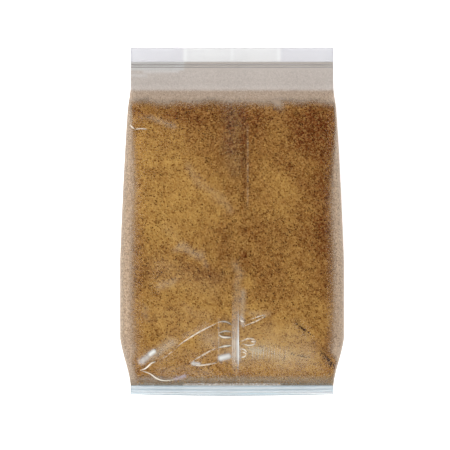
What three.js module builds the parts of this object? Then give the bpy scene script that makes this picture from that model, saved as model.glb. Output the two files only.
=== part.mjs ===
// A clear film pouch filled with brown sugar, lying on its front panel with the back seam up.
//
// The pouch is one tube of film with a pleat, called a gusset, tucked into each side. It is sealed flat
// across both ends: a narrow fin at the foot, and a crimped band with a plain flap at the head. The sugar
// fills it to a thickness of about five centimetres near the foot, and thins out towards the head, where
// the two panels of film meet. It is shut, so it is modelled as one solid with the true outer form.
//
// Millimetres. +Y runs from the foot to the head, +Z is up, and the pouch rests on z = 0.
import * as THREE from "three";

// Driving dimensions
const PACK_LENGTH = 174.5; // end of the foot fin to end of the head flap
const SEAL_WIDTH = 101.5; // the flat tube of film, across both seals
const BODY_WIDTH = 112; // the widest part of the filled body
const BODY_HEIGHT = 48; // the thickest part, measured up from the floor
const FLAP_LENGTH = 7.5; // plain film beyond the crimped band
const CRIMP_LENGTH = 3.75; // the crimped band that closes the head
const FIN_LENGTH = 5.5; // the sealed fin at the foot
const SEAL_THICKNESS = 0.9; // the layers of film pressed together in a seal
const FOOT_SEAL_HEIGHT = 20; // the fin's height over the floor
const HEAD_SEAL_HEIGHT = 8; // the height at which the two panels meet at the head
const CORNER_RADIUS = 14; // the long edges of the body, which tighten where it is thin
const CROWN = 1.6; // how much the back panel bulges across its width

// Where the parts of the pouch begin and end along Y
const FOOT_END = -PACK_LENGTH / 2;
const FOOT_SEAL = FOOT_END + FIN_LENGTH;
const HEAD_END = PACK_LENGTH / 2;
const CRIMP_END = HEAD_END - FLAP_LENGTH;
const CRIMP_START = CRIMP_END - CRIMP_LENGTH;
const HEAD_JOIN = 68; // the two panels of film touch from here to the head

// How far each end takes to swell to the full body
const FOOT_WEDGE = 30;
const FOOT_LIFT = 22; // the underside leaves the floor this far before the foot seal
const HEAD_WEDGE = 70;
const HEAD_LIFT = 26; // the underside leaves the floor this far before the join

// The back seam: a lap of film down the middle of the upper panel
const SEAM_LEFT = -7;
const SEAM_RIGHT_FOOT = 3.5;
const SEAM_RIGHT_HEAD = 8.2;
const SEAM_STEP = 0.5;
const SEAM_EDGE = 0.35; // the width of the step at each edge

// The gussets: shallow where the body is full, deeper towards the head and at the foot
const GUSSET_SHALLOW = 1.2;
const GUSSET_HEAD = 11;
const GUSSET_FOOT = 9;

// Raised pleats and sunken creases in the upper panel: both ends in X and Y, height, and half width
const FOLDS = {
  leftEndPleat: { from: [-46, -73], to: [-7, -50.5], height: 1.3, spread: 2.4 },
  leftFootPleat: { from: [-46, -73], to: [-33, -79.5], height: 0.7, spread: 1.8 },
  rightEndCrease: { from: [52, -73], to: [33, -50.5], height: -1.7, spread: 2.2 },
  rightFootCrease: { from: [50, -67], to: [28, -61.5], height: -0.7, spread: 2.4 },
  leftHeadPleat: { from: [-53, 48.5], to: [-43, 45], height: 0.7, spread: 2.2 },
};
const LUMP_HEIGHT = 0.45; // the soft unevenness of the sugar under the film

// Rows of faces along each stretch of the pouch, from the foot to the head
const ROWS = { footWedge: 18, body: 13, headWedge: 20, headspace: 2, flap: 2 };
const CRIMP_RIDGES = 3;
const FIN_RIDGES = 2;
const RIDGE_HEIGHT = 0.25;
const FIN_BOW = 0.75; // how much shorter the fin is at its corners than in the middle

// Faces across a quarter of the section
const SIDE_FACES = 4;
const CORNER_FACES = 5;
const PANEL_FACES = 7;

const clamp01 = (t) => Math.min(1, Math.max(0, t));
const mix = (a, b, t) => a + (b - a) * t;
const smooth = (t) => clamp01(t) ** 2 * (3 - 2 * clamp01(t));

// How full the pouch is across its width, from 0 at the flat seals to 1 where it is widest.
function fullness(y) {
  const fromFoot = clamp01((y - FOOT_SEAL) / 24);
  const fromHead = clamp01((HEAD_JOIN + 2 - y) / 90) ** 0.68 * smooth((HEAD_JOIN + 3 - y) / 15);
  return Math.min((fromFoot + smooth(fromFoot)) / 2, fromHead);
}

const halfWidth = (y) => mix(SEAL_WIDTH, BODY_WIDTH, fullness(y)) / 2;

// The level of the film where both panels are pressed together, beyond either end of the sugar.
function sealLevel(y) {
  if (y <= FOOT_SEAL) return FOOT_SEAL_HEIGHT - ((FOOT_SEAL - y) / FIN_LENGTH) ** 2 * 0.8;
  return HEAD_SEAL_HEIGHT - ((y - HEAD_JOIN) / (HEAD_END - HEAD_JOIN)) ** 2 * 1.5;
}

// The upper panel's height along the middle of the pouch.
function upperHeight(y) {
  if (y <= FOOT_SEAL || y >= HEAD_JOIN) return sealLevel(y) + SEAL_THICKNESS / 2;
  const foot = (1 - (1 - clamp01((y - FOOT_SEAL) / FOOT_WEDGE)) ** 1.8) ** 0.8;
  const head = 1 - (1 - clamp01((HEAD_JOIN - y) / HEAD_WEDGE)) ** 2;
  const top = BODY_HEIGHT - CROWN;
  const footDrop = (top - FOOT_SEAL_HEIGHT - SEAL_THICKNESS / 2) * (1 - foot);
  const headDrop = (top - HEAD_SEAL_HEIGHT - SEAL_THICKNESS / 2) * (1 - head);
  return top - footDrop - headDrop;
}

// The lower panel's height: flat on the floor, and lifting towards both seals.
function lowerHeight(y) {
  if (y <= FOOT_SEAL || y >= HEAD_JOIN) return sealLevel(y) - SEAL_THICKNESS / 2;
  const foot = clamp01(1 - (y - FOOT_SEAL) / FOOT_LIFT) ** 1.6;
  const head = clamp01(1 - (HEAD_JOIN - y) / HEAD_LIFT) ** 2;
  return (
    (FOOT_SEAL_HEIGHT - SEAL_THICKNESS / 2) * foot +
    (HEAD_SEAL_HEIGHT - SEAL_THICKNESS / 2) * head
  );
}

// How far the pleat is tucked into each side. It fades out where the body is too thin to show it.
function gussetDepth(y, thickness) {
  const head = (GUSSET_HEAD - GUSSET_SHALLOW) * smooth((y + 8) / 55);
  const foot = (GUSSET_FOOT - GUSSET_SHALLOW) * smooth((FOOT_SEAL + 26 - y) / 18);
  return (GUSSET_SHALLOW + head + foot) * smooth((thickness - 2) / 26);
}

const seamRight = (y) => mix(SEAM_RIGHT_FOOT, SEAM_RIGHT_HEAD, smooth((y + 45) / 40));

// One fold's height at a point of the upper panel: a soft ridge or groove along a straight line.
function foldHeight({ from, to, height, spread }, x, y) {
  const run = [to[0] - from[0], to[1] - from[1]];
  const length = Math.hypot(...run);
  const along = ((x - from[0]) * run[0] + (y - from[1]) * run[1]) / length;
  const beyond = Math.max(0, -along, along - length);
  const across = ((x - from[0]) * run[1] - (y - from[1]) * run[0]) / length;
  return height * Math.exp(-((across ** 2 + beyond ** 2) / spread ** 2));
}

// The unevenness of the upper panel: folds and lumps, fading out at the seals and the long edges.
function relief(x, y) {
  const swell = smooth((y - FOOT_SEAL) / 8) * smooth((HEAD_JOIN - y) / 10);
  const lumps =
    LUMP_HEIGHT * (Math.sin(x / 9 + 1.3) * Math.sin(y / 13 + 0.4) + 0.6 * Math.sin(x / 17 - y / 9));
  const folds = Object.values(FOLDS).reduce((sum, fold) => sum + foldHeight(fold, x, y), 0);
  return swell * (lumps + folds);
}

// The crimped ridges that run across both seals.
function crimpHeight(y) {
  const ridges = (from, to, count) =>
    y > from && y < to ? RIDGE_HEIGHT * Math.sin((Math.PI * count * (y - from)) / (to - from)) ** 2 : 0;
  return ridges(CRIMP_START, CRIMP_END, CRIMP_RIDGES) + ridges(FOOT_END, FOOT_SEAL, FIN_RIDGES);
}

// How far a point of the fin is drawn back from its end, towards the corners.
const finBow = (x, y) =>
  FIN_BOW * clamp01((FOOT_SEAL - y) / FIN_LENGTH) * ((2 * x) / SEAL_WIDTH) ** 2;

// The rise of the lapped back seam over the upper panel.
function seamHeight(x, y) {
  const left = smooth((x - SEAM_LEFT) / SEAM_EDGE + 0.5);
  const right = smooth((seamRight(y) - x) / SEAM_EDGE + 0.5);
  return SEAM_STEP * left * right;
}

// X of each point along one half of a panel, from the middle out to where the corner begins.
function panelColumns(seamEdge, reach) {
  const columns = [0, seamEdge - SEAM_EDGE / 2, seamEdge + SEAM_EDGE / 2];
  for (let i = 1; i <= PANEL_FACES; i++)
    columns.push(mix(seamEdge + SEAM_EDGE / 2, reach, i / PANEL_FACES));
  return columns;
}

// A quarter of the section at y, from the middle of the side to the middle of the panel.
// side is 1 on the right and -1 on the left; up is 1 for the upper panel and -1 for the lower one.
function quarter(y, side, up) {
  const w = halfWidth(y);
  const top = upperHeight(y);
  const bottom = lowerHeight(y);
  const thickness = top - bottom;
  const middle = (top + bottom) / 2;
  const panel = up > 0 ? top : bottom;
  const radius = CORNER_RADIUS * Math.tanh((0.45 * thickness) / CORNER_RADIUS);
  const tuck = gussetDepth(y, thickness);
  const points = [];
  for (let i = 0; i < SIDE_FACES; i++) {
    const t = i / SIDE_FACES;
    points.push([w - tuck * (1 - t) ** 1.6, mix(middle, panel - up * radius, t)]);
  }
  for (let i = 0; i < CORNER_FACES; i++) {
    const angle = ((i / CORNER_FACES) * Math.PI) / 2;
    points.push([w - radius * (1 - Math.cos(angle)), panel - up * radius * (1 - Math.sin(angle))]);
  }
  const seamEdge = side > 0 ? seamRight(y) : -SEAM_LEFT;
  const columns = panelColumns(seamEdge, w - radius);
  for (const x of columns.reverse()) {
    const crown = thickness > SEAL_THICKNESS * 2 ? CROWN * (1 - (x / (w - radius)) ** 2) : 0;
    const inward = smooth((w - radius - x) / 8);
    const rise = crown * smooth((thickness - 2) / 20) + relief(side * x, y) * inward;
    const raised = panel + rise + seamHeight(side * x, y) + crimpHeight(y);
    points.push([x, up > 0 ? raised : panel]);
  }
  return points.map(([x, z]) => [side * x, z]);
}

// The whole section as one closed loop of points, from the right side over the top and back below.
function section(y) {
  const upperRight = quarter(y, 1, 1);
  const upperLeft = quarter(y, -1, 1).reverse().slice(1);
  const lowerLeft = quarter(y, -1, -1).slice(1);
  const lowerRight = quarter(y, 1, -1).reverse().slice(1, -1);
  return [...upperRight, ...upperLeft, ...lowerLeft, ...lowerRight];
}

// The places along Y where the section is taken, closer together at both ends of the body.
function stations() {
  const places = [FOOT_END];
  const run = (to, count, ease = (t) => t) => {
    const from = places[places.length - 1];
    for (let i = 1; i <= count; i++) places.push(mix(from, to, ease(i / count)));
  };
  run(FOOT_SEAL, FIN_RIDGES * 2);
  run(FOOT_SEAL + FOOT_WEDGE, ROWS.footWedge, (t) => t ** 1.25);
  run(HEAD_JOIN - HEAD_WEDGE * 0.55, ROWS.body);
  run(HEAD_JOIN, ROWS.headWedge, (t) => 1 - (1 - t) ** 1.25);
  run(CRIMP_START, ROWS.headspace);
  run(CRIMP_END, CRIMP_RIDGES * 2);
  run(HEAD_END, ROWS.flap);
  return places;
}

// Joins the sections into one closed surface, with a ladder of faces over the thin edge at each end.
function pouchGeometry() {
  const places = stations();
  const loops = places.map(section);
  const count = loops[0].length;
  const positions = loops.flatMap((loop, row) =>
    loop.flatMap(([x, z]) => [x, places[row] + finBow(x, places[row]), z]),
  );
  const faces = [];
  for (let row = 0; row + 1 < loops.length; row++)
    for (let i = 0; i < count; i++) {
      const a = row * count + i;
      const b = row * count + ((i + 1) % count);
      faces.push(a, a + count, b, b, a + count, b + count);
    }
  const cap = (row, facingFoot) => {
    const at = (i) => row * count + (i % count);
    const half = count / 2;
    for (let i = 0; i < half; i++) {
      const [upper, nextUpper] = [at(i), at(i + 1)];
      const [lower, nextLower] = [at(count - i), at(count - i - 1)];
      const quad = [upper, nextUpper, lower, nextUpper, nextLower, lower];
      const turned = facingFoot ? quad : quad.reverse();
      for (let k = 0; k < 6; k += 3) {
        const [p, q, r] = turned.slice(k, k + 3);
        if (p !== q && q !== r && p !== r) faces.push(p, q, r);
      }
    }
  };
  cap(0, true);
  cap(loops.length - 1, false);
  const geometry = new THREE.BufferGeometry();
  geometry.setAttribute("position", new THREE.Float32BufferAttribute(positions, 3));
  geometry.setIndex(faces);
  geometry.computeVertexNormals();
  return geometry;
}

function pouch() {
  const sugarSeenThroughFilm = new THREE.MeshStandardMaterial({
    color: 0xa27a45,
    roughness: 0.45,
    metalness: 0,
  });
  const mesh = new THREE.Mesh(pouchGeometry(), sugarSeenThroughFilm);
  mesh.name = "pouch";
  return mesh;
}

const group = new THREE.Group();
group.add(pouch());

export default group;
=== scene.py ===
# %% [markdown]
# # A clear pouch of brown sugar
#
# The pouch is a tube of clear film with a pleat tucked into each side, sealed flat across both ends and
# filled with brown sugar. It lies on its front, so that the back panel with its lapped seam looks up.
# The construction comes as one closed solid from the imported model. This script puts the real things in
# its place: the film, the sugar behind it, the seam, the crimps and the creases. Everything is worked out
# in millimetres and turned into metres when a mesh is made.

# %% Imports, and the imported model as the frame
import math

import bmesh
import bpy
import numpy as np
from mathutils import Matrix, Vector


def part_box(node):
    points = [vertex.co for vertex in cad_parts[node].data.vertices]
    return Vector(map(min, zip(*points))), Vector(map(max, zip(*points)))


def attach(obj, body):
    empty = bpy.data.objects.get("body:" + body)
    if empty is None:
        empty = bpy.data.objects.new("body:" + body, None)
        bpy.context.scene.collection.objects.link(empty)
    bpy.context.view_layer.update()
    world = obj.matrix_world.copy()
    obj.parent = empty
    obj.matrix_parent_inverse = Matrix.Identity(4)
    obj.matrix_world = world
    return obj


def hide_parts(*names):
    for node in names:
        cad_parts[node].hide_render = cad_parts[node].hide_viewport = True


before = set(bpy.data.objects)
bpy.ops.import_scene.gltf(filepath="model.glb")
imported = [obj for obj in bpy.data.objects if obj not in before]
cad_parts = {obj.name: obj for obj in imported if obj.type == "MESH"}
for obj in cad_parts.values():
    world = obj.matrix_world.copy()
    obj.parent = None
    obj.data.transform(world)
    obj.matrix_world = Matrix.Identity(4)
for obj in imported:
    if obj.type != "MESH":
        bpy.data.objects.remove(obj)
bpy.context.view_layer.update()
MM = 0.001
low, high = (np.array(corner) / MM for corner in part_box("pouch"))
print("the solid pouch measures", np.round(high - low, 1), "mm")

# %% [markdown]
# ## The form of the pouch
#
# Every piece follows the same form, so it is written once, as rules for the width, the height and the
# side pleats at each place along the pouch. They are the rules that the solid was made by, with the
# overall sizes read from the frame. Y runs from the foot to the head.

# %% The sizes of the pouch, in millimetres
FOOT_END, HEAD_END = low[1], high[1]
BODY_WIDTH = high[0] - low[0]
SEAL_WIDTH = 101.5
BODY_HEIGHT = 48
FIN_LENGTH = 5.5
FLAP_LENGTH = 7.5
CRIMP_LENGTH = 3.75
FOOT_SEAL = FOOT_END + FIN_LENGTH
CRIMP_END = HEAD_END - FLAP_LENGTH
CRIMP_START = CRIMP_END - CRIMP_LENGTH
HEAD_JOIN = 68
FOOT_WEDGE, FOOT_LIFT = 30, 22
HEAD_WEDGE, HEAD_LIFT = 70, 26
FOOT_SEAL_HEIGHT, HEAD_SEAL_HEIGHT = 20, 8
SEAL_THICKNESS = 0.6
CORNER_RADIUS = 14
CROWN = 1.6
GUSSET_HALF = 26.5
FIN_BOW = 0.75
SEAM_LEFT, SEAM_RIGHT_FOOT, SEAM_RIGHT_HEAD = -7, 3.5, 8.2
print("foot seal at", round(FOOT_SEAL, 2), "and head crimp from", round(CRIMP_START, 2), "mm")


# %% Small helpers for numbers
def clamp(t):
    return np.clip(t, 0.0, 1.0)


def smooth(t):
    t = clamp(t)
    return t * t * (3 - 2 * t)


def mix(a, b, t):
    return a + (b - a) * t


def segment_distance(x, y, start, end):
    """How far each point is from a straight line between two places."""
    run = np.subtract(end, start)
    along = ((x - start[0]) * run[0] + (y - start[1]) * run[1]) / np.dot(run, run)
    along = clamp(along)
    return np.hypot(x - start[0] - along * run[0], y - start[1] - along * run[1])


def bell(distance, spread):
    """1 where the distance is nothing, fading softly on both sides."""
    return np.exp(-((distance / spread) ** 2))


def blend(first, second, share):
    """Mixes two colours, by a share that is given for each point."""
    return mix(np.array(first), np.array(second), share[..., None])


print("halfway up a smooth step is", smooth(0.5))


# %% Width, heights and pleats at each place along the pouch
def half_width(y):
    """Narrow at both seals, and full a little way above the foot."""
    from_foot = clamp((y - FOOT_SEAL) / 24)
    from_head = clamp((HEAD_JOIN + 2 - y) / 90) ** 0.68 * smooth((HEAD_JOIN + 3 - y) / 15)
    full = np.minimum((from_foot + smooth(from_foot)) / 2, from_head)
    return mix(SEAL_WIDTH, BODY_WIDTH, full) / 2


def seal_level(y):
    """The height of the flat film beyond either end of the sugar."""
    fin = FOOT_SEAL_HEIGHT - clamp((FOOT_SEAL - y) / FIN_LENGTH) ** 2 * 0.8
    flap = HEAD_SEAL_HEIGHT - clamp((y - HEAD_JOIN) / (HEAD_END - HEAD_JOIN)) ** 2 * 1.5
    return np.where(y < 0, fin, flap)


def upper_height(y):
    """The back panel rises steeply from the foot seal, and falls slowly to the head."""
    foot = (1 - (1 - clamp((y - FOOT_SEAL) / FOOT_WEDGE)) ** 1.8) ** 0.8
    head = 1 - (1 - clamp((HEAD_JOIN - y) / HEAD_WEDGE)) ** 2
    top = BODY_HEIGHT - CROWN
    above_seal = SEAL_THICKNESS / 2
    foot_drop = (top - FOOT_SEAL_HEIGHT - above_seal) * (1 - foot)
    head_drop = (top - HEAD_SEAL_HEIGHT - above_seal) * (1 - head)
    body = top - foot_drop - head_drop
    sealed = (y <= FOOT_SEAL) | (y >= HEAD_JOIN)
    return np.where(sealed, seal_level(y) + above_seal, body)


def lower_height(y):
    """The front panel lies on the floor, and lifts to both seals."""
    foot = clamp(1 - (y - FOOT_SEAL) / FOOT_LIFT) ** 1.6
    head = clamp(1 - (HEAD_JOIN - y) / HEAD_LIFT) ** 2
    below_seal = SEAL_THICKNESS / 2
    body = (FOOT_SEAL_HEIGHT - below_seal) * foot + (HEAD_SEAL_HEIGHT - below_seal) * head
    sealed = (y <= FOOT_SEAL) | (y >= HEAD_JOIN)
    return np.where(sealed, seal_level(y) - below_seal, body)


def pleat_depth(y, thickness):
    """How far the side pleat is tucked in: right to its fold where the pouch is thin."""
    head = 9.8 * smooth((y + 8) / 55)
    foot = 7.8 * smooth((FOOT_SEAL + 26 - y) / 18)
    open_pleat = (1.2 + head + foot) * smooth((thickness - 2) / 26)
    folded = GUSSET_HALF * np.sqrt(clamp(1 - (thickness / 32) ** 2))
    return (open_pleat**3 + folded**3) ** (1 / 3)


def seam_right(y):
    """The sealed edge of the lap, which runs further right above the middle."""
    return mix(SEAM_RIGHT_FOOT, SEAM_RIGHT_HEAD, smooth((y + 45) / 40))


def corner_radius(thickness):
    """The radius of the long edges, which are tighter where the pouch is thin."""
    tightness = mix(0.25, 0.45, smooth(thickness / 12))
    return CORNER_RADIUS * np.tanh(tightness * thickness / CORNER_RADIUS)


print("half width at the middle", round(float(half_width(np.array(0.0))), 1), "mm")

# %% [markdown]
# ## Folds and lumps
#
# Film that is filled and then sealed pulls into pleats at its corners. The raised ones stand off the
# sugar, and the sunken ones press into it. Each is a soft ridge or groove along a straight line. The
# sugar also lifts the film in broad, shallow lumps.

# %% The larger folds: start, end, height and half width
RAISED = {
    "left end pleat": ((-46, -73), (-7, -50.5), 1.3, 2.4),
    "left foot pleat": ((-46, -73), (-33, -79.5), 0.7, 1.8),
    "left head pleat": ((-53, 48.5), (-43, 45), 0.7, 2.2),
    "inner pleat": ((-20, -70.5), (-7, -63), 0.6, 1.6),
}
SUNKEN = {
    "right end crease": ((52, -73), (33, -50.5), -1.7, 2.2),
    "right foot crease": ((50, -67), (28, -61.5), -0.7, 2.4),
}
LUMP_HEIGHT = 0.45


def folds(lines, x, y):
    """The height of a set of ridges or grooves, added up."""
    total = np.zeros(np.broadcast(x, y).shape)
    for start, end, height, spread in lines.values():
        total += height * bell(segment_distance(x, y, start, end), spread)
    return total


def relief(x, y, raised):
    """The unevenness of the upper panel, fading out at both seals."""
    swell = smooth((y - FOOT_SEAL) / 8) * smooth((HEAD_JOIN - y) / 10)
    lumps = np.sin(x / 9 + 1.3) * np.sin(y / 13 + 0.4) + 0.6 * np.sin(x / 17 - y / 9)
    rise = LUMP_HEIGHT * lumps + folds(SUNKEN, x, y)
    if raised:
        rise = rise + folds(RAISED, x, y)
    return swell * rise


print(len(RAISED), "raised pleats and", len(SUNKEN), "creases")


# %% The section of the pouch, one closed loop for each row
def quarter(y, side, up, inset, raised, counts):
    """A quarter of the section, from the fold of the side pleat to the middle of the panel."""
    side_count, corner_count, panel_count = counts
    y = y[:, None]
    inset = inset[:, None]
    top = upper_height(y) - inset
    bottom = lower_height(y) + inset
    thickness = np.maximum(top - bottom, 0.2)
    middle = (top + bottom) / 2
    panel = middle + up * thickness / 2
    w = half_width(y) - inset
    radius = corner_radius(thickness)
    tuck = pleat_depth(y, thickness)
    t = np.arange(side_count) / side_count
    pleat_x = w - tuck * (1 - t) ** 1.6
    pleat_z = mix(middle, panel - up * radius, t ** mix(0.5, 1, smooth(thickness / 12)))
    angle = np.arange(corner_count) / corner_count * math.pi / 2
    corner_x = w - radius * (1 - np.cos(angle))
    corner_z = panel - up * radius * (1 - np.sin(angle))
    reach = w - radius
    panel_x = reach * np.linspace(1, 0, panel_count)
    panel_z = panel + 0 * panel_x
    if up > 0:
        crown = CROWN * (1 - (panel_x / reach) ** 2) * smooth((thickness - 2) / 20)
        inward = smooth((reach - panel_x) / 8)
        panel_z = panel_z + crown + relief(side * panel_x, y, raised) * inward
    x = np.concatenate([pleat_x, corner_x, panel_x], axis=1)
    z = np.concatenate([pleat_z, corner_z, panel_z], axis=1)
    return side * x, z


def round_the_section(quarters):
    """Joins four quarters into one loop: over the top from right to left, and back below."""
    cuts = [slice(None), slice(-2, None, -1), slice(1, None), slice(-2, 0, -1)]
    return np.concatenate([part[..., cut] for part, cut in zip(quarters, cuts)], axis=-1)


def sections(y, upper, under, inset=0.0, raised=True):
    """X and Z of the section at each y, with counts of points for the upper and under quarters."""
    inset = np.broadcast_to(inset, y.shape)
    corners = [(1, 1, upper), (-1, 1, upper), (-1, -1, under), (1, -1, under)]
    quarters = [quarter(y, side, up, inset, raised, counts) for side, up, counts in corners]
    return round_the_section([q[0] for q in quarters]), round_the_section([q[1] for q in quarters])


def depth_in_pleat(upper, under):
    """How deep each point of the loop lies in a side pleat: 1 at its fold, and 0 outside it."""
    all_counts = (upper, upper, under, under)
    return round_the_section([clamp(1 - np.arange(sum(c)) / c[0]) for c in all_counts])


def fin_bow(x, y):
    """The fin's end is drawn back towards its corners."""
    return FIN_BOW * clamp((FOOT_SEAL - y) / FIN_LENGTH) * (2 * x / SEAL_WIDTH) ** 2


def film_height(x, y):
    """The height of the film's upper panel at a place given in millimetres."""
    x, y = np.broadcast_arrays(np.asarray(x, float), np.asarray(y, float))
    top, bottom = upper_height(y), lower_height(y)
    thickness = np.maximum(top - bottom, 0.2)
    radius = corner_radius(thickness)
    reach = half_width(y) - radius
    across = np.minimum(np.abs(x), reach)
    crown = CROWN * (1 - (across / reach) ** 2) * smooth((thickness - 2) / 20)
    inward = smooth((reach - across) / 8)
    beyond = clamp((np.abs(x) - reach) / radius)
    drop = radius * (1 - np.sqrt(1 - beyond**2))
    return top + crown + relief(np.sign(x) * across, y, True) * inward - drop


print("film over the middle at", round(float(film_height(0, 0)), 1), "mm")

# %% [markdown]
# ## Turning points into pieces
#
# A loft joins rows of points into a closed skin, with one flat face over each end. Each finished piece
# rides on the body of the pouch.


# %% Meshes from rows of points
def new_piece(name, vertices, faces, material, smooth_faces=True):
    mesh = bpy.data.meshes.new(name)
    mesh.from_pydata((np.asarray(vertices) * MM).tolist(), [], faces)
    mesh.materials.append(material)
    mesh.polygons.foreach_set("use_smooth", [smooth_faces] * len(mesh.polygons))
    piece = bpy.data.objects.new(name, mesh)
    bpy.context.scene.collection.objects.link(piece)
    return piece


def loft(name, x, y, z, material, smooth_faces=True):
    """A closed skin over rows of points, each row one loop."""
    rows, count = x.shape
    y = np.broadcast_to(y, x.shape)
    vertices = np.stack([x, y, z], axis=-1).reshape(-1, 3)
    a = np.arange(rows - 1)[:, None] * count + np.arange(count)
    b = np.arange(rows - 1)[:, None] * count + (np.arange(count) + 1) % count
    quads = np.stack([a, a + count, b + count, b], axis=-1).reshape(-1, 4).tolist()
    first = list(range(count))
    last = list(range((rows - 1) * count, rows * count))[::-1]
    return new_piece(name, vertices, [*quads, first, last], material, smooth_faces)


def give_attribute(piece, name, values):
    """Stores a number, or a colour with its veil, for each point of the mesh."""
    values = np.ascontiguousarray(values, dtype=np.float32)
    coloured = values.shape[-1] == 4
    attribute = piece.data.attributes.new(name, "FLOAT_COLOR" if coloured else "FLOAT", "POINT")
    attribute.data.foreach_set("color" if coloured else "value", values.ravel())


def triangles(piece):
    return sum(len(face.vertices) - 2 for face in piece.data.polygons)


def finish_piece(piece):
    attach(piece, "root")
    print(piece.name, "has", triangles(piece), "triangles")


# %% [markdown]
# ## Materials as expressions
#
# A material is a graph of nodes. Writing it as arithmetic is easier to read, so a wire is one output of
# a node, and adding, subtracting or multiplying wires adds the Math nodes. Colours go through Mix
# nodes, because a Math node would turn them grey.


# %% Wires and graphs
class Wire:
    """One output of a node, which arithmetic turns into more nodes."""

    def __init__(self, graph, socket):
        self.graph = graph
        self.socket = socket

    def math(self, operation, *values):
        return self.graph.add("ShaderNodeMath", {"operation": operation}, dict(enumerate(values)))

    def __add__(self, other):
        return self.math("ADD", self, other)

    def __sub__(self, other):
        return self.math("SUBTRACT", self, other)

    def __rsub__(self, other):
        return self.math("SUBTRACT", other, self)

    def __mul__(self, other):
        return self.math("MULTIPLY", self, other)

    __radd__ = __add__
    __rmul__ = __mul__

    def step(self, start, end):
        """A smooth step from 0 at start to 1 at end."""
        settings = {"interpolation_type": "SMOOTHSTEP"}
        sockets = {"Value": self, "From Min": start, "From Max": end}
        return self.graph.add("ShaderNodeMapRange", settings, sockets)


class Graph:
    """A node tree, with one way to add any node."""

    def __init__(self, tree):
        self.tree = tree

    def add(self, kind, settings=None, sockets=None, output=0):
        node = self.tree.nodes.new(kind)
        for name, value in (settings or {}).items():
            setattr(node, name, value)
        for key, value in (sockets or {}).items():
            if isinstance(value, Wire):
                self.tree.links.new(value.socket, node.inputs[key])
            else:
                node.inputs[key].default_value = value
        return Wire(self, node.outputs[output]) if node.outputs else None

    def attribute(self, name, output="Fac"):
        return self.add("ShaderNodeAttribute", {"attribute_name": name}, output=output)

    def noise(self, place, size_mm, detail=2.0, roughness=0.5):
        sockets = {"Vector": place, "Scale": 1 / (size_mm * MM)}
        sockets |= {"Detail": detail, "Roughness": roughness}
        return self.add("ShaderNodeTexNoise", None, sockets)

    def tint(self, factor, a, b, blend_type="MIX"):
        """Mixes two colours. The Mix node keeps its colours in sockets 6 and 7, and its result in 2."""
        a = a if isinstance(a, Wire) else (*a, 1)
        b = b if isinstance(b, Wire) else (*b, 1)
        settings = {"data_type": "RGBA", "blend_type": blend_type}
        return self.add("ShaderNodeMix", settings, {0: factor, 6: a, 7: b}, output=2)


def new_material(name, build):
    """Makes a material whose surface is what build returns for its graph and object coordinates."""
    material = bpy.data.materials.new(name)
    material.use_nodes = True
    material.node_tree.nodes.clear()
    graph = Graph(material.node_tree)
    place = graph.add("ShaderNodeTexCoord", output="Object")
    surface = build(graph, place)
    graph.add("ShaderNodeOutputMaterial", None, {"Surface": surface})
    return material


print("materials are built from", Graph.__name__, "and", Wire.__name__)

# %% [markdown]
# ## The sugar
#
# Soft brown sugar is small crystals in a thin coat of molasses. Behind the film it looks like a fine
# speckle of gold, brown and near black, gathered in soft lighter and darker patches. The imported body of
# it is one core with an uneven surface, coloured grain by grain: a Voronoi texture gives each cell of
# grain size its own shade. Molasses swallows blue and green far more than red, so a cell with more of it
# is multiplied by a deep brown, which keeps it from turning grey. Loose crystals then lie on the core,
# as real grains.

# %% The colours of the sugar
GOLD = (0.452, 0.26, 0.071)
BROWN = (0.178, 0.054, 0.0135)
PALE = (0.6, 0.37, 0.13)
MOLASSES = (0.38, 0.2, 0.03)
GRAIN_SIZE = 0.68
LOW_SPECULAR = 0.02


def sugar_surface(graph, place):
    """Cells of grain size over broad patches: most plain, some with more molasses, some paler."""
    grains = {"Vector": place, "Scale": 1 / (GRAIN_SIZE * MM)}
    cell = graph.add("ShaderNodeTexVoronoi", None, grains, "Color")
    shade = graph.add("ShaderNodeSeparateColor", None, {"Color": cell}, "Red")
    kind = graph.add("ShaderNodeSeparateColor", None, {"Color": cell}, "Green")
    clump = graph.noise(place, 8, 4.0, 0.62)
    patch = graph.attribute("tone") + (clump - 0.5) * 2.4
    ground = graph.tint(patch * 0.5 + 0.5, GOLD, BROWN)
    deep = shade.step(0.2, 1.0) * (0.6 + patch * 0.35)
    pale = kind.step(0.4, 1.0) * (0.27 + patch * 0.05)
    colour = graph.tint(pale, graph.tint(deep, ground, MOLASSES, "MULTIPLY"), PALE)
    bump = graph.add("ShaderNodeBump", None, {"Height": shade, "Strength": 0.7, "Distance": 0.25 * MM})
    sockets = {"Base Color": colour, "Roughness": 0.7, "Specular IOR Level": LOW_SPECULAR, "Normal": bump}
    return graph.add("ShaderNodeBsdfPrincipled", None, sockets)


sugar_material = new_material("packed brown sugar", sugar_surface)
print("made", sugar_material.name)

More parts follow.
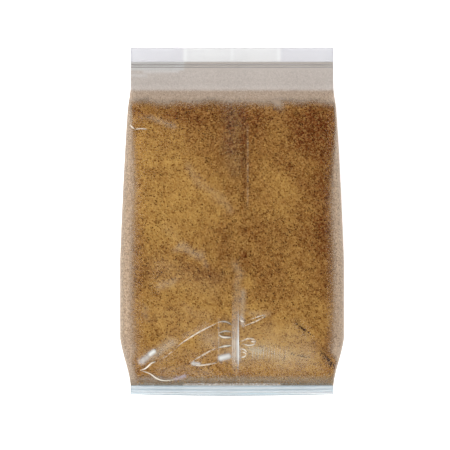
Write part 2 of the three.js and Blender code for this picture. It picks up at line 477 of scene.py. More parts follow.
# %% Lighter and darker patches: place, reach across and along, and how dark, below 0 for gold
PATCHES = [
    # The gold on the left, and darker sugar over it towards the top edge
    (-34, 14, 25, 31, -0.8), (-47, 44, 10, 12, -0.3), (-6, 8, 11, 12, -0.4), (-18, 54, 18, 7, 0.75),
    (-12, 41, 9, 10, 0.3), (-39, 25.5, 5, 2.5, 0.75),
    # The dark band of the lap and the dark line beside its edge: painted shade of the double film and of
    # its edge
    (0, 46, 7.5, 17, 0.55), (-1.2, 47, 1.7, 13, 0.45), (6, 33, 1.7, 30, 0.7), (11, 46, 4, 12, 0.5),
    # The gold on the right, and the dark side beyond it
    (24, 16, 9, 12, -0.75), (41, 48, 10.5, 17, 1.05), (46, 14, 7, 34, 0.7), (21, -4, 7, 6, 0.25),
    # The middle, and the browner lower half
    (-4, -10, 4.5, 9, 0.35), (-12, -26, 6, 4, 0.45), (-22, -24, 12, 4.5, 0.3), (-46, -27, 5, 6, 0.55),
    (19, -27, 10, 13, 0.3), (8.5, -31, 2.5, 5, -0.6), (30, -19, 5, 11, -0.3), (48, -22, 7, 22, 0.35),
    # The gold over the foot
    (-24, -46, 26, 18, -0.65), (26, -61, 27, 20, -1.0), (-24, -64, 16, 10, -0.3), (49, -63, 5, 10, 0.8),
    # Smaller spots above the middle
    (6, 52.5, 1.9, 6, 0.65), (-2, 14.5, 3.5, 3.5, 0.6), (7.5, 16, 4, 4.5, 0.5),
    (17.5, 16, 3.5, 4, 0.55), (29, 25.5, 3, 5, 0.8), (24.5, 32, 4, 4, 0.45), (33, 44, 3, 5, 0.75),
    (18, 53, 5, 4, 0.55), (14, 45, 3.5, 7, 0.4), (-29, 51, 4, 4, 0.45), (41, 26, 3, 3, -0.8),
    (38, 16, 6, 4, 0.4),
    # Smaller spots below the middle
    (-30, -9, 5, 6, -0.35), (-14, -15, 3, 4, -0.35), (1, -11, 3, 5, -0.15), (-47, -13, 3, 6, 0.65),
    (5.5, -18, 2.5, 3, 0.75), (30, -20, 5, 3, -0.35), (-29, -32, 9, 4, -0.35),
    (-43, -41.5, 4, 5, -0.35), (21, -44, 3.5, 3.5, 0.65), (29, -50, 3, 3, 0.4), (12, -44, 3.5, 4, -0.4),
    (40, -63, 4, 4, 0.55), (-25, -58, 4, 3, 0.4), (-48, 55, 4, 3.5, 0.8), (-48, 46, 3, 8, 0.4),
    (-39, 12, 3, 4, 0.45), (25, 10, 2.5, 2.5, 0.5), (-47, -33, 3, 4, 0.45), (33, -13, 6, 3, 0.35),
    (5.5, -26, 2, 3, 0.45), (11, -70.5, 4, 2, 0.45),
]


def tone(x, y):
    """How dark the sugar is at a place: 0 in between, below 0 for gold and above 0 for brown."""
    total = np.zeros(np.broadcast(x, y).shape)
    for centre_x, centre_y, reach_x, reach_y, amount in PATCHES:
        total += amount * np.exp(-(((x - centre_x) / reach_x) ** 2) - ((y - centre_y) / reach_y) ** 2)
    return total


print(len(PATCHES), "patches")

# %% The core of sugar
FILM_GAP = 0.55
TOP_EDGE_ROUNDING = 2.2
SUGAR_START = FOOT_SEAL + 1.0
SUGAR_END = 61.2
CORE_STEP = 0.95
ROUGHNESS = 0.1
rng = np.random.default_rng(7)


def sugar_core():
    """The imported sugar, just inside the film, with a rough skin and a wavering top edge."""
    rows = int((SUGAR_END - SUGAR_START) / CORE_STEP)
    y = np.linspace(SUGAR_START, SUGAR_END, rows)
    slump = clamp(1 - (SUGAR_END - y) / 3)
    inset = FILM_GAP + TOP_EDGE_ROUNDING * (1 - np.sqrt(1 - slump**2))
    x, z = sections(y, (9, 14, 44), (9, 14, 36), inset, raised=False)
    y_all = np.repeat(y[:, None], x.shape[1], axis=1)
    waver = np.sin(x / 5.3) + np.sin(x / 2.1 + 1) * 0.6
    y_all = y_all + 0.35 * waver * smooth((y_all - 54) / 6)
    rough = rng.normal(0, ROUGHNESS, (3, *x.shape)) * smooth((y_all - SUGAR_START) / 3)
    places = (x + rough[0], y_all + rough[1], z + rough[2])
    piece = loft("sugar", *places, sugar_material, smooth_faces=False)
    give_attribute(piece, "tone", tone(x, y_all))
    return piece


core = sugar_core()
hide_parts("pouch")
finish_piece(core)

# %% [markdown]
# ## Loose crystals
#
# Crystals of sugar are small blocks. Thousands of them are too many to place by hand, so Geometry Nodes
# scatter them: points are spread over the core, a block is put on each with its own turn and size, and
# the blocks are made real. One tree serves all kinds, and its inputs say how many, how large, how much
# they gather in the darker patches, and which finish they have.


# %% The tree that scatters grains
def new_tree(name, inputs):
    """A Geometry Nodes tree with named inputs, and its graph and input wires."""
    tree = bpy.data.node_groups.new(name, "GeometryNodeTree")
    for label, kind in inputs.items():
        tree.interface.new_socket(label, in_out="INPUT", socket_type="NodeSocket" + kind)
    tree.interface.new_socket("Result", in_out="OUTPUT", socket_type="NodeSocketGeometry")
    graph = Graph(tree)
    source = tree.nodes.new("NodeGroupInput")
    return tree, graph, {label: Wire(graph, source.outputs[label]) for label in inputs}


def realized(graph, geometry, material):
    """Ends a tree: instances become real mesh, and the mesh gets its material."""
    real = graph.add("GeometryNodeRealizeInstances", None, {"Geometry": geometry})
    done = graph.add("GeometryNodeSetMaterial", None, {"Geometry": real, "Material": material})
    graph.add("NodeGroupOutput", None, {"Result": done})


def scatter_tree():
    """Blocks of many sizes and turns on points spread over a ground."""
    inputs = {"Ground": "Geometry", "Density": "Float", "Gathering": "Float", "Size": "Float"}
    inputs |= {"Seed": "Int", "Material": "Material"}
    tree, graph, given = new_tree("scatter grains", inputs)
    number = {"data_type": "FLOAT"}
    named = graph.add("GeometryNodeInputNamedAttribute", number, {"Name": "tone"}, "Attribute")
    gathered = 1 + named * given["Gathering"]
    crowd = given["Density"] * gathered.math("MAXIMUM", gathered, 0.1)
    spreading = {"Mesh": given["Ground"], "Density": crowd, "Seed": given["Seed"]}
    points = graph.add("GeometryNodeDistributePointsOnFaces", None, spreading, "Points")
    block = graph.add("GeometryNodeMeshCube", None, {"Size": (1.0, 0.82, 0.66)}, "Mesh")

    def random_triple(low, high):
        span = {"Min": (low,) * 3, "Max": (high,) * 3, "Seed": given["Seed"]}
        return graph.add("FunctionNodeRandomValue", {"data_type": "FLOAT_VECTOR"}, span)

    turn = random_triple(0, math.tau)
    stretch = {0: random_triple(0.65, 1.3), "Scale": given["Size"]}
    scale = graph.add("ShaderNodeVectorMath", {"operation": "SCALE"}, stretch)
    placing = {"Points": points, "Instance": block, "Rotation": turn, "Scale": scale}
    blocks = graph.add("GeometryNodeInstanceOnPoints", None, placing)
    shade = graph.add("FunctionNodeRandomValue", number, {"Seed": given["Seed"]}, 1)
    storing = {"Geometry": blocks, "Name": "shade", "Value": shade}
    shaded = graph.add("GeometryNodeStoreNamedAttribute", number | {"domain": "INSTANCE"}, storing)
    realized(graph, shaded, given["Material"])
    return tree


def run_tree(name, ground, tree, values):
    """Runs a tree on a copy of a mesh, and keeps the result as a plain mesh of its own."""
    source = bpy.data.objects.new(name + "_source", ground.copy())
    bpy.context.scene.collection.objects.link(source)
    modifier = source.modifiers.new("nodes", "NODES")
    modifier.node_group = tree
    for item in tree.interface.items_tree:
        if item.in_out == "INPUT" and item.name in values:
            modifier[item.identifier] = values[item.name]
    evaluated = source.evaluated_get(bpy.context.evaluated_depsgraph_get())
    mesh = bpy.data.meshes.new_from_object(evaluated)
    mesh.name = name
    source.modifiers.clear()
    bpy.data.objects.remove(source)
    piece = bpy.data.objects.new(name, mesh)
    bpy.context.scene.collection.objects.link(piece)
    return piece


grain_tree = scatter_tree()
print("the tree has", len(grain_tree.nodes), "nodes")


# %% The four kinds of crystal
def grain_finish(name, darker, lighter, roughness):
    """A crystal's finish, between two shades. Each grain picks its own, darker in the darker patches."""

    def surface(graph, place):
        pick = graph.attribute("shade") - graph.attribute("tone") * 0.5
        streak = graph.noise(place, 0.5) - 0.5
        colour = graph.tint((pick + streak * 0.4).step(0, 1), darker, lighter)
        sockets = {"Base Color": colour, "Roughness": roughness, "Specular IOR Level": LOW_SPECULAR}
        return graph.add("ShaderNodeBsdfPrincipled", None, sockets)

    return new_material(name, surface)


# Darker and lighter colour, roughness, how many to a square millimetre, gathering, and size in mm.
KINDS = {
    "grains_pale": ((0.34, 0.18, 0.05), (0.54, 0.335, 0.1), 0.5, 0.09, -0.1, 0.5),
    "grains_gold": ((0.26, 0.12, 0.03), (0.46, 0.265, 0.07), 0.5, 0.22, -0.1, 0.56),
    "grains_brown": ((0.115, 0.034, 0.004), (0.235, 0.096, 0.02), 0.55, 0.3, 0.2, 0.56),
    "grains_dark": ((0.035, 0.007, 0.001), (0.16, 0.055, 0.009), 0.5, 0.22, 0.7, 0.52),
}
for seed, (name, kind) in enumerate(KINDS.items()):
    darker, lighter, roughness, per_mm2, gathering, size = kind
    finish = grain_finish(name.replace("_", " "), darker, lighter, roughness)
    values = {
        "Density": per_mm2 / MM**2,
        "Gathering": gathering,
        "Size": size * MM,
        "Seed": seed + 3,
        "Material": finish,
    }
    grains = run_tree(name, core.data, grain_tree, values)
    finish_piece(grains)

# %% [markdown]
# ## Painted shade in the creases
#
# Where a pleat presses into the sugar, the groove is dark with shade. The darkest crystals paint that
# shade: the same tree scatters them, now closely over a narrow ribbon along each crease.


# %% Dark crystals along the creases, as painted shade
# Each line of painted shade is a path and a width, in millimetres.
CREASE_SHADE_DEPTH = 0.45
CREASE_SHADE_LINES = [
    ([(32.2, -51.5), (36, -54.1), (40.5, -56.8)], 0.9),
    ([(44, -65), (47.2, -68.4), (49.3, -70.6), (50.6, -72.6)], 2.0),
    ([(29.2, -65.7), (33.7, -66.9), (38.5, -68)], 0.8),
]


def crease_shade_ground():
    """Narrow ribbons just under the film, one along each line of painted shade, as one mesh."""
    vertices, faces = [], []
    for points, width in CREASE_SHADE_LINES:
        points = np.array(points, float)
        along = np.gradient(points, axis=0)
        along /= np.linalg.norm(along, axis=1)[:, None]
        across = np.stack([-along[:, 1], along[:, 0]], axis=-1) * width / 2
        base = len(vertices)
        for x, y in np.stack([points - across, points + across], axis=1).reshape(-1, 2):
            vertices.append((x, y, float(film_height(x, y)) - CREASE_SHADE_DEPTH))
        for i in range(base, base + 2 * len(points) - 2, 2):
            faces.append([i, i + 2, i + 3, i + 1])
    ribbons = new_piece("crease_shade_ribbons", vertices, faces, sugar_material)
    give_attribute(ribbons, "tone", np.ones(len(vertices)))
    ground = ribbons.data.copy()
    bpy.data.objects.remove(ribbons)
    return ground


values = {
    "Density": 0.85 / MM**2,
    "Gathering": 0.5,
    "Size": 0.6 * MM,
    "Seed": 20,
    "Material": bpy.data.materials["grains dark"],
}
finish_piece(run_tree("grains_crease_shade", crease_shade_ground(), grain_tree, values))

# %% [markdown]
# ## The film
#
# The film is clear and glossy, but not clean. Sugar dust hazes it above the sugar and along the long
# edges, where it stands off the sugar, single crystals cling to it there, and it turns milky where it is
# sealed or sharply creased. Part of the veil is painted light: the haze by the long edges is partly the
# film's glancing reflection, and sheens, glows and white crests by the folds are painted highlights.
# So each point of the film's mesh carries a colour and a veil, which says how much of the clear film
# that colour covers, from 0 to 1. It also carries the share of the film that crystals cling to, and how
# dull it is where it mirrors nothing. The clear part is only a weak reflection over a see-through
# surface.

# %% The finish of the film
CRYSTAL = (0.12, 0.055, 0.02)
CRYSTAL_SIZE = 0.5


def film_surface(graph, place):
    """Clear film under a veil, with crystals in cells that are drawn out up the side walls."""
    colour = graph.attribute("cover", "Color")
    veil = graph.attribute("cover", "Alpha")
    share = graph.attribute("speckle")
    flatter = graph.add("ShaderNodeMapping", None, {"Vector": place, "Scale": (1.0, 1.0, 0.5)})
    spots = {"Vector": flatter, "Scale": 1 / (CRYSTAL_SIZE * MM)}
    spot = graph.add("ShaderNodeTexVoronoi", None, spots, "Color")
    pick = graph.add("ShaderNodeSeparateColor", None, {"Color": spot}, "Red")
    kind = graph.add("ShaderNodeSeparateColor", None, {"Color": spot}, "Green")
    mottle = graph.noise(flatter, 1.3, 2.0, 0.7) - 0.5
    shade = graph.tint(kind.step(0.3, 1.0) * share * 0.9 + mottle * share, colour, CRYSTAL)
    uneven = veil + (pick - 0.5) * share * 0.7 + mottle * share
    at_least = uneven.math("MAXIMUM", uneven, 0.0)
    covered = uneven.math("MINIMUM", at_least, 1.0)
    milky = graph.add("ShaderNodeBsdfPrincipled", None, {"Base Color": shade, "Roughness": 0.4})
    clear = graph.add("ShaderNodeBsdfTransparent")
    gloss = graph.add("ShaderNodeBsdfGlossy", None, {"Roughness": 0.14})
    glancing = graph.add("ShaderNodeLayerWeight", None, {"Blend": 0.5}, "Facing")
    glint = (0.005 + glancing.math("POWER", glancing, 5.0) * 0.5) * (1 - graph.attribute("dull"))
    film = graph.add("ShaderNodeMixShader", None, {0: glint, 1: clear, 2: gloss})
    return graph.add("ShaderNodeMixShader", None, {0: covered, 1: film, 2: milky})


film_material = new_material("clear film", film_surface)
print("made", film_material.name)

# %% Where the film is milky or dusty, and in which colour
MILKY_WHITE_AND_HIGHLIGHT = (0.81, 0.85, 0.86)
LILAC = (0.72, 0.68, 0.86)
WARM_HAZE = (0.76, 0.62, 0.42)
PALE_HAZE = (0.82, 0.74, 0.58)
SEALED = (0.82, 0.75, 0.66)
GREEN_HAZE = (0.8, 0.75, 0.55)
OLIVE_HAZE = (0.27, 0.2, 0.11)
DUSTY_HAZE = (0.5, 0.44, 0.46)
PAINTED_HIGHLIGHT_WHITE = (0.66, 0.68, 0.69)
CREST_WHITE_AND_HIGHLIGHT = (0.88, 0.79, 0.65)
EDGE_DUST_AND_SHEEN = (0.455, 0.322, 0.207)
RIM_DUST_AND_SHADE = (0.38, 0.278, 0.182)
INNER_DUST = (0.52, 0.325, 0.155)
FOOT_DUST = (0.3, 0.21, 0.1)
FOOT_DUST_LEFT = (0.31, 0.24, 0.175)
FOOT_PAINTED_SHADE = (0.205, 0.157, 0.09)
SLOPE_DUST = (0.395, 0.298, 0.217)
LOW_SLOPE_DUST = (0.39, 0.225, 0.1)
HEAD_DUST = (0.53, 0.476, 0.436)
CRIMPED_LEFT = (0.555, 0.54, 0.525)
CRIMPED = (0.525, 0.47, 0.43)
FLAP = (0.56, 0.56, 0.6)
FLAP_MIDDLE = (0.6, 0.605, 0.61)
FLAP_BORDER = (0.66, 0.66, 0.68)
FIN = (0.47, 0.57, 0.63)
CLEAN = 0.003
# Start and end, spread, strength and colour of each haze and mark.
# Dust hazes on the film, and painted sheens, glows and highlights that stand for its reflections.
HAZES_AND_SHEENS = {
    # The olive haze over the lap is partly painted shade of the double film.
    "dull olive and painted shade of the lap": ((0.5, 55), (0.5, 27), 5.0, 0.13, OLIVE_HAZE),
    "thicker dust right of the middle": ((17, 60.5), (24, 60.5), 3.0, 0.7, SLOPE_DUST),
    "inside the inner loop": ((-17, -66.5), (-9, -67.5), 2.6, 0.045, MILKY_WHITE_AND_HIGHLIGHT),
    "under the end pleat": ((-39, -68), (-35, -67.5), 2.0, 0.04, MILKY_WHITE_AND_HIGHLIGHT),
    "over the end pleat": ((-31, -56), (-22, -54), 4.0, 0.022, MILKY_WHITE_AND_HIGHLIGHT),
    "left of the weld": ((-4, -49), (-4, -60), 2.4, 0.022, MILKY_WHITE_AND_HIGHLIGHT),
    "dust by the left side, low": ((-48.5, -52), (-47, -59), 2.0, 0.25, INNER_DUST),
    "dust by the foot crease": ((45, -67.5), (48.5, -71), 2.0, 0.05, PALE_HAZE),
    "dust low on the left": ((-37, -24), (-10, -32), 8.0, 0.032, PALE_HAZE),
    "dust below it": ((-36, -46), (-14, -50), 6.0, 0.026, DUSTY_HAZE),
    "broad, by the low seam": ((2, -64), (36, -68), 7.5, 0.2, WARM_HAZE),
    "broad, above it": ((-2, -55), (30, -56), 6.0, 0.08, WARM_HAZE),
    "strained film": ((-12, -58), (5, -65), 5.5, 0.15, PALE_HAZE),
    "right of the seam": ((9, -64), (14, -65), 2.7, 0.42, GREEN_HAZE),
    "further right": ((14, -65), (28, -66.5), 3.2, 0.24, GREEN_HAZE),
    "at the far right": ((30, -68), (44, -71.5), 2.6, 0.12, PALE_HAZE),
    "above it": ((20, -58), (36, -58), 3.5, 0.1, PALE_HAZE),
    "painted highlight by the lap, low": ((3.9, -63), (3.9, -69), 0.7, 0.4, MILKY_WHITE_AND_HIGHLIGHT),
    "painted highlight by the lap, high": ((4.6, -47), (5.4, -51.5), 1.3, 0.3, MILKY_WHITE_AND_HIGHLIGHT),
    "painted sheen by the lap, faint": ((5.4, -35), (5, -46), 1.6, 0.22, PALE_HAZE),
    "in the inner loop": ((-34, -69), (-20, -66), 4.0, 0.06, WARM_HAZE),
    "sheen across the gold": ((-22, 27), (-1, 5), 2.6, 0.06, PALE_HAZE),
    "sheen left of the middle": ((-26, -13.5), (-15, -16), 2.4, 0.13, PALE_HAZE),
    "sheen down to the dark spot": ((-15, -17), (-13, -22), 1.6, 0.08, PALE_HAZE),
    "sheen left of it": ((-33, -3), (-29, -8), 3.0, 0.03, PALE_HAZE),
    "sheen low on the left": ((-35, -31.5), (-29, -30), 2.4, 0.13, PALE_HAZE),
    "sheen above it": ((-37, -21), (-31, -22), 3.0, 0.05, PALE_HAZE),
    "sheen by the low lap": ((-24, -44), (-12, -47), 3.0, 0.05, PALE_HAZE),
    "sheen over the lap": ((2, -21), (4.6, -44), 2.2, 0.13, WARM_HAZE),
    "painted reflection left of the head": ((-46, 52), (-41, 52), 1.1, 0.06, PALE_HAZE),
    "painted reflection down from there": ((-41, 52), (-29, 47.5), 1.5, 0.12, PALE_HAZE),
    "painted highlight on the end pleat": ((-40.9, -66.3), (-39, -64.9), 1.15, 0.92, MILKY_WHITE_AND_HIGHLIGHT),
    "painted highlight below it": ((-45.2, -70), (-41, -66.6), 1.6, 0.5, MILKY_WHITE_AND_HIGHLIGHT),
    "low on the left side": ((-45, -44), (-43, -48), 2.4, 0.08, PALE_HAZE),
    "by the tip loop": ((9, -46), (18, -46), 1.6, 0.1, PALE_HAZE),
    "painted sheen beside the end pleat": ((-40, -66.5), (-31, -60.5), 2.9, 0.24, PALE_HAZE),
    "painted sheen along its crest": ((-24, -57.5), (-13, -51.5), 1.5, 0.11, PALE_HAZE),
    "painted highlight by the seam": ((-5.6, -68.2), (-1.8, -67.2), 1.5, 0.8, MILKY_WHITE_AND_HIGHLIGHT),
    "painted highlight at the end of the inner loop": ((-19.5, -70.8), (-16.5, -71.3), 1.1, 0.5, MILKY_WHITE_AND_HIGHLIGHT),
    "over the foot, left": ((-36, -74), (-12, -75), 2.7, 0.12, WARM_HAZE),
    "foot smear": ((-28.6, -78.7), (-23.5, -77.3), 0.9, 0.55, LILAC),
}
FLAP_MARKS = {
    "left border": ((-23.5, 81), (-23.5, 87), 1.1, 0.53, FLAP_BORDER),
    "right border": ((23.5, 81), (23.5, 87), 1.1, 0.52, FLAP_BORDER),
    "middle": ((0, 81), (0, 87), 0.8, 0.5, FLAP_BORDER),
}
# Painted highlights: white streaks under the crimps, and a glint in them.
HIGHLIGHT_STREAKS = {
    "streak under the crimps": ((-44, 74.9), (-27, 75.1), 0.7, 0.95, PAINTED_HIGHLIGHT_WHITE),
    "streak at the left edge": ((-50, 73.2), (-43, 73), 0.6, 0.92, PAINTED_HIGHLIGHT_WHITE),
    "glint in the crimps": ((-27.5, 77.8), (-24.6, 78.6), 1.2, 0.95, PAINTED_HIGHLIGHT_WHITE),
}
SLOPE_START, SLOPE_TOP, SLOPE_END = 56.6, 62.2, 64.7


def wander(x, y):
    """Bends places a little, so that no haze has a straight edge."""
    bent_x = x + 0.9 * np.sin(y / 2.9 + 1) + 0.5 * np.sin(y / 1.3)
    bent_y = y + 0.9 * np.sin(x / 3.3) + 0.5 * np.sin(x / 1.7)
    return bent_x, bent_y


print(len(HAZES_AND_SHEENS) + len(FLAP_MARKS) + len(HIGHLIGHT_STREAKS), "hazes and marks on the film")


# %% Laying one cover over another
class Cover:
    """What is on the film at each point: a colour, its veil, and the share that crystals cling to."""

    def __init__(self, shape):
        self.colour = np.zeros((*shape, 3)) + INNER_DUST
        self.veil = np.full(shape, CLEAN)
        self.speckle = np.zeros(shape)

    def lay(self, mask, colour, veil, speckle):
        """Replaces what is there, as far as the mask says."""
        self.colour = mix(self.colour, np.array(colour), mask[..., None])
        self.veil = mix(self.veil, veil, mask)
        self.speckle = mix(self.speckle, speckle, mask)

    def glaze(self, strength, colour, speckle):
        """Adds a haze, whose colour shows the more, the stronger it is against what is there."""
        share = strength / (self.veil + strength + CLEAN)
        self.lay(share, colour, np.maximum(self.veil, strength), speckle)


# %% Dust, hazes and painted sheens on the body of the pouch
DUST_VEIL = 0.77
DUST_SHARPNESS = 7


def add_edge_dust(cover, x, y, inward, depth):
    """Dust where the film stands off the sugar: a strip by each long edge, and the side walls. The
    strip's haze is partly painted sheen, the film's glancing reflection, and its outer rim is darker as
    painted shade.
    """
    left = x < 0
    reach = np.where(left, 5.85 * clamp((70 - y) / 52) ** 0.8, 5.25 * clamp((52 - y) / 42) ** 0.8)
    reach = reach + 0.35 * left * smooth(-y / 10) + np.where(left, 0.85, 0.45) * smooth((-46 - y) / 6)
    reach = reach * (1 - np.where(left, 0.5, 0.85) * smooth((-63 - y) / 8))
    edge = 1 / (1 + (inward / np.maximum(reach, 0.9)) ** DUST_SHARPNESS) * smooth((66 - y) / 8)
    # Painted shade: the outer rim is darker. The strip's pale haze is partly painted sheen.
    dust = blend(EDGE_DUST_AND_SHEEN, RIM_DUST_AND_SHADE, smooth((3 - inward) / 1.5))
    dust = blend(INNER_DUST, dust, smooth(2 * edge)) * (1 - 0.05 * left[..., None])
    bare = (0.42 + 0.14 * np.sin(y / 9 + 2 * depth)) * smooth(2.5 * depth)
    cover.glaze(DUST_VEIL * edge * (1 - bare), dust, 0.6 * edge)


def add_hazes(cover, x, y):
    """The hazes of the table: dust, and painted sheens and highlights alike. The broad ones wander a
    little.
    """
    for start, end, spread, strength, colour in HAZES_AND_SHEENS.values():
        spot = wander(x, y) if spread > 2 else (x, y)
        cover.glaze(strength * bell(segment_distance(*spot, start, end), spread), colour, cover.speckle)


# %% Dust and seals at both ends
FLAP_SPLIT = 23.5
HEAD_VEIL = 0.88
CLEAR_SEAL_VEIL = 0.46


def add_head_dust(cover, x, y):
    """Dust above the sugar: a slope that thickens upwards, and an even coat up to the crimps."""
    uneven = 0.5 * np.sin(x / 6.3) + 0.4 * np.sin(x / 2.7 + 2)
    level = y + uneven * smooth((66 - y) / 3)
    fade = 0.9 * clamp((level - SLOPE_START) / (SLOPE_TOP - SLOPE_START))
    slope_colour = blend(SLOPE_DUST, LOW_SLOPE_DUST, smooth((61 - level) / 4))
    cover.lay((fade > cover.veil) * 1.0, slope_colour, fade, 0.45 * smooth((level - 58) / 3))
    cover.lay(smooth((y - SLOPE_END) / 2), HEAD_DUST, HEAD_VEIL, 0.16)


def add_head_seal(cover, x, y, inward):
    """The crimped band, with a darker line at its end as painted shade, the flap, with a whiter middle,
    and painted highlights under and in the crimps.
    """
    crimp_colour = blend(CRIMPED, CRIMPED_LEFT, smooth(-FLAP_SPLIT - x))
    cover.lay(smooth((y - CRIMP_START + 0.6) / 0.6), crimp_colour, HEAD_VEIL, 0.05)
    # Painted shade: a darker line at the end of the crimped band.
    cover.lay(smooth((y - CRIMP_END + 1.05) / 0.3), 0.84 * crimp_colour, HEAD_VEIL, 0.05)
    middle = smooth((FLAP_SPLIT + 1 - np.abs(x)) / 1.5)
    whiter = np.maximum(smooth(1 - inward / 14), 0.6 * middle)
    on_flap = smooth((y - CRIMP_END) / 0.3)
    cover.lay(on_flap, blend(FLAP, FLAP_MIDDLE, middle), mix(CLEAR_SEAL_VEIL, 0.52, whiter), 0.0)
    # The flap marks, and the painted highlights under and in the crimps.
    for marks, mask in ((FLAP_MARKS, on_flap), (HIGHLIGHT_STREAKS, 0.4 - 0.4 * on_flap)):
        for start, end, spread, strength, colour in marks.values():
            glow = bell(segment_distance(x, y, start, end), spread)
            cover.lay(glow * mask, colour, np.maximum(cover.veil, strength), 0.0)


def add_foot(cover, x, y):
    """Dust in the narrow end over the foot, painted shade on its steep end by the seal, and the sealed
    fin.
    """
    foot_dust_and_shade = blend(FOOT_DUST, FOOT_DUST_LEFT, smooth((-25 - x) / 10))
    # Painted shade: darker on the steep end just above the seal.
    foot_dust_and_shade = blend(foot_dust_and_shade, FOOT_PAINTED_SHADE, smooth((-78.6 - y) / 1.2))
    cover.glaze(0.55 * smooth((-76 - y) / 3), foot_dust_and_shade, 0.45)
    cover.lay(smooth((FOOT_SEAL - y) / 0.4), FIN, CLEAR_SEAL_VEIL, 0.0)


# %% The cover of the whole film
def film_cover(x, y, w, depth):
    """The film's cover, speckle and dullness, from its place, half width and depth in a pleat."""
    inward = np.maximum(w - np.abs(x), 0)
    cover = Cover(x.shape)
    add_edge_dust(cover, x, y, inward, depth)
    add_hazes(cover, x, y)
    add_head_dust(cover, x, y)
    add_foot(cover, x, y)
    add_head_seal(cover, x, y, inward)
    sealed = np.maximum(smooth((y - CRIMP_START) / 0.5), smooth((FOOT_SEAL - y) / 0.4))
    tucked = sealed * (depth > 0)
    veil = mix(cover.veil, np.minimum(cover.veil, 0.06), tucked)
    with_veil = np.concatenate([cover.colour, veil[..., None]], axis=-1)
    return with_veil, cover.speckle, 0.4 * sealed + 0.6 * tucked


def give_cover(piece, cover, speckle, dull):
    """Stores what the film's finish reads."""
    give_attribute(piece, "cover", cover)
    give_attribute(piece, "speckle", speckle)
    give_attribute(piece, "dull", dull)


# %% The film itself
FILM_COUNTS = {"upper": (8, 9, 76), "under": (8, 6, 14)}


def film_rows():
    """Places along the pouch, closest together where the crimps and the fin are."""
    return np.concatenate(
        [
            np.linspace(FOOT_END, FOOT_SEAL, 12)[:-1],
            np.linspace(FOOT_SEAL, -40, 62)[:-1],
            np.linspace(-40, 50, 100)[:-1],
            np.linspace(50, CRIMP_START - 1, 34)[:-1],
            np.linspace(CRIMP_START - 1, CRIMP_END + 0.4, 14)[:-1],
            np.linspace(CRIMP_END + 0.4, HEAD_END, 8),
        ]
    )


def film():
    """The whole tube of film, as one closed skin."""
    y = film_rows()
    x, z = sections(y, **FILM_COUNTS)
    y_all = y[:, None] + fin_bow(x, y[:, None])
    piece = loft("film", x, y_all, z, film_material)
    give_cover(piece, *film_cover(x, y_all, half_width(y)[:, None], depth_in_pleat(**FILM_COUNTS)))
    return piece


finish_piece(film())

# %% [markdown]
# ## The lapped seam
#
# The tube of film was closed by lapping one edge over the other down the middle of the back and sealing
# them with heat. The lap is a second layer of film, a little proud of the first: a thin strip from the
# free edge on the left to the sealed edge on the right. It is milky where the heat has sealed it, most
# of all near the foot, where the film is strained. The bright line along its sealed edge near the foot
# is a painted highlight.


# %% The lap
LAP_TOP, LAP_UNDER = 0.2, 0.06
STRAIN_CENTRE, STRAIN_SPREAD = -62, 8


def lap_veil(x, y, from_right):
    """How milky the lap is, and how far that is the painted highlight along its sealed edge near the
    foot.
    """
    strained = bell(y - STRAIN_CENTRE, STRAIN_SPREAD) * (0.85 + 0.15 * np.sin(y / 1.1))
    low_end = smooth((y + 77) / 8)
    streaks = 1 + 0.25 * np.sin(x * 7 + 0.6 * np.sin(y / 3))
    heated = 0.15 * smooth((-33 - y) / 12) + 0.28 * strained
    sealed = smooth((x + 0.4) / 0.9) * heated * streaks
    painted_edge_highlight = bell(from_right + 0.25, 0.9) * (0.3 * smooth((-40 - y) / 8) + 0.55 * strained)
    weld = bell(x - 0.2, 0.4) * 0.42 * strained
    near_foot = smooth((-46 - y) / 5)
    free_edge = bell(x - SEAM_LEFT - 0.25, 0.4) * 0.2 * near_foot * smooth((y + 68) / 4)
    broken = 0.6 + 0.4 * np.sin(y / 1.3) * np.sin(y / 3.7)
    high_part = smooth((y - 4) / 8)
    high_edge = bell(from_right + 0.2, 0.6) * 0.19 * broken * high_part * smooth((50 - y) / 4)
    low_part = np.maximum.reduce([sealed, painted_edge_highlight, weld]) * low_end
    return np.maximum.reduce([low_part, free_edge, high_edge]), painted_edge_highlight


def seam_lap():
    """A thin strip over the back panel, wider towards the head."""
    y = np.linspace(FOOT_END + 0.2, HEAD_END - 0.2, 240)[:, None]
    across = np.linspace(0, 1, 41)
    x = mix(SEAM_LEFT, seam_right(y), across)
    height = film_height(x, y)
    loop_x = np.concatenate([x, x[:, ::-1]], axis=1)[:, ::-1]
    loop_z = np.concatenate([height + LAP_TOP, height[:, ::-1] + LAP_UNDER], axis=1)[:, ::-1]
    loop_y = y + fin_bow(loop_x, y)
    piece = loft("seam_lap", loop_x, loop_y, loop_z, film_material)
    above = np.arange(loop_x.shape[1]) < len(across)
    from_right = loop_x - seam_right(loop_y)
    veil, painted_edge_highlight = lap_veil(loop_x, loop_y, from_right)
    # Painted highlight: the sealed edge near the foot turns bright.
    colour = blend(SEALED, MILKY_WHITE_AND_HIGHLIGHT, clamp(painted_edge_highlight * 2))
    colour = blend(colour, WARM_HAZE, smooth((loop_y + 52) / 14))
    cover = np.concatenate([colour, (veil * above)[..., None]], axis=-1)
    edges = np.maximum(smooth(from_right + 1), smooth(SEAM_LEFT + 1 - loop_x))
    dull = np.maximum(np.where(above, 0.35, 1.0), np.maximum(edges, smooth((-70 - loop_y) / 2)))
    give_cover(piece, cover, np.zeros(loop_x.shape), dull)
    return piece


finish_piece(seam_lap())
